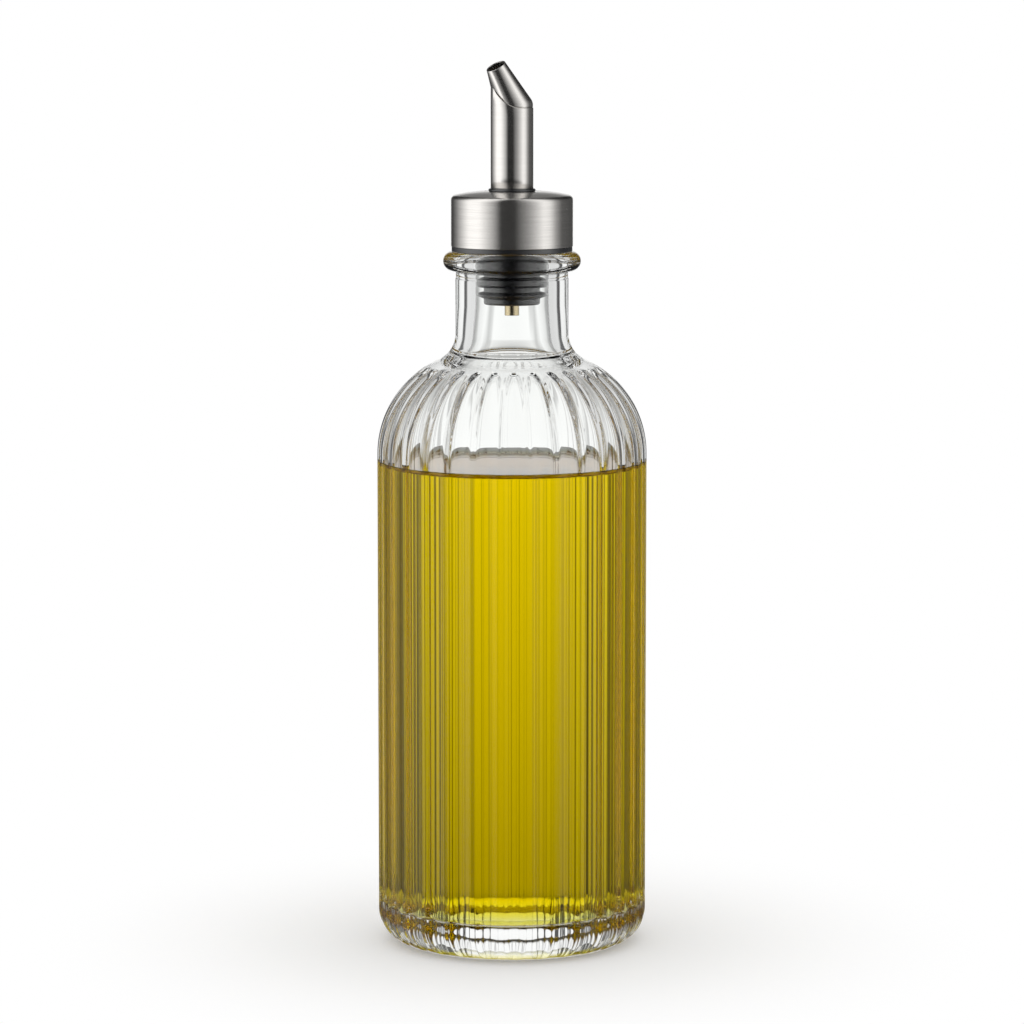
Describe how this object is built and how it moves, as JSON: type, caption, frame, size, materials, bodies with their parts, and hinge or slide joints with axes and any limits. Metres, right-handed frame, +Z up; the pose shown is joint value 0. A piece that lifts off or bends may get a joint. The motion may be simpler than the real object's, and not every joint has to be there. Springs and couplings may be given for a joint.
{
  "type": "olive oil dispenser bottle",
  "caption": "Clear fluted glass bottle of olive oil with a rubber stopper, brushed steel cap and slanted pouring spout",
  "frame": {"origin": "on the bottle's axis, in the plane that its foot rests on", "axes": "+Z is up along the bottle's axis, -Y is the front; the nozzle leans towards -X and a little to the front"},
  "size_m": [0.073, 0.0728, 0.2397],
  "materials": {
    "clear_glass": "clear moulded soda-lime glass, fire polished",
    "olive_oil": "clear golden-green liquid",
    "black_rubber": "moulded charcoal rubber with a soft sheen",
    "brushed_steel": "stainless steel brushed round its axis",
    "drawn_steel": "bright drawn stainless tube, warm in tone"
  },
  "bodies": {
    "root": {"bottle": "clear_glass", "oil": "olive_oil", "stopper": "black_rubber", "o_ring": "black_rubber", "cap": "brushed_steel", "spout_tube": "brushed_steel", "nozzle": "brushed_steel", "feed_tube": "drawn_steel"}
  },
  "joints": []
}
